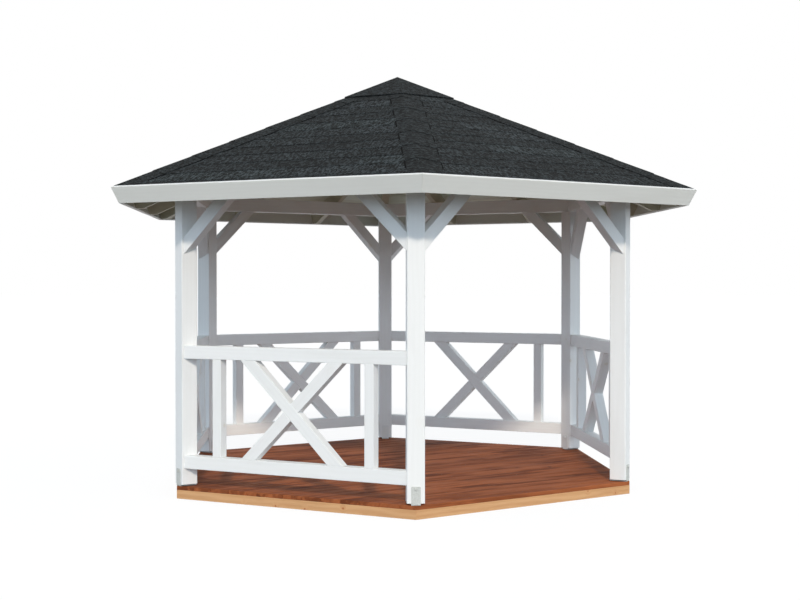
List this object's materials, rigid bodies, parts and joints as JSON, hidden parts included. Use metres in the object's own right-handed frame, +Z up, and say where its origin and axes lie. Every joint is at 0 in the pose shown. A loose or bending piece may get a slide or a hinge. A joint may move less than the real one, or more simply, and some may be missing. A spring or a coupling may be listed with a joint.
{
  "type": "open hexagonal garden pavilion",
  "caption": "Open hexagonal garden pavilion in white painted timber, with a low shingled roof, knee braces, railings with diagonal crosses, an open entrance side and a board deck.",
  "frame": {"origin": "middle of the floor at ground level, under the roof's peak", "axes": "+Z up; -Y points out through the entrance side; +X to the right of someone who looks in through the entrance"},
  "size_m": [4.6264, 4.0066, 3.0841],
  "materials": {
    "white_paint": "satin opaque white paint on planed softwood, faint grain and knots",
    "fascia_paint": "satin opaque white paint on planed softwood boards",
    "soffit_paint": "white paint on tongued softwood boards",
    "deck_stain": "red-brown stained softwood boards with knots",
    "bare_pine": "untreated planed pine",
    "galvanised_steel": "hot-dip galvanised",
    "bitumen_shingle": "anthracite bitumen shingle with mineral granules"
  },
  "bodies": {
    "root": {"deck_frame": "bare_pine", "deck_joists": "bare_pine", "deck_boards": "deck_stain", "post_shoes": "galvanised_steel", "post_front_right": "white_paint", "post_right": "white_paint", "post_back_right": "white_paint", "post_back_left": "white_paint", "post_left": "white_paint", "post_front_left": "white_paint", "railing_front_right_rails": "white_paint", "railing_back_right_rails": "white_paint", "railing_back_rails": "white_paint", "railing_back_left_rails": "white_paint", "railing_front_left_rails": "white_paint", "railing_front_right_infill": "white_paint", "railing_back_right_infill": "white_paint", "railing_back_infill": "white_paint", "railing_back_left_infill": "white_paint", "railing_front_left_infill": "white_paint", "cross_bars_inner": "white_paint", "knee_braces": "white_paint", "beam_front": "white_paint", "beam_front_right": "white_paint", "beam_back_right": "white_paint", "beam_back": "white_paint", "beam_back_left": "white_paint", "beam_front_left": "white_paint", "hip_rafters": "white_paint", "common_rafters": "white_paint", "roof_hub": "white_paint", "fascia_front": "fascia_paint", "fascia_front_right": "fascia_paint", "fascia_back_right": "fascia_paint", "fascia_back": "fascia_paint", "fascia_back_left": "fascia_paint", "fascia_front_left": "fascia_paint", "roof_boards_front": "soffit_paint", "roof_boards_front_right": "soffit_paint", "roof_boards_back_right": "soffit_paint", "roof_boards_back": "soffit_paint", "roof_boards_back_left": "soffit_paint", "roof_boards_front_left": "soffit_paint", "shingle_cover": "bitumen_shingle", "roof_caps": "bitumen_shingle"}
  },
  "joints": []
}
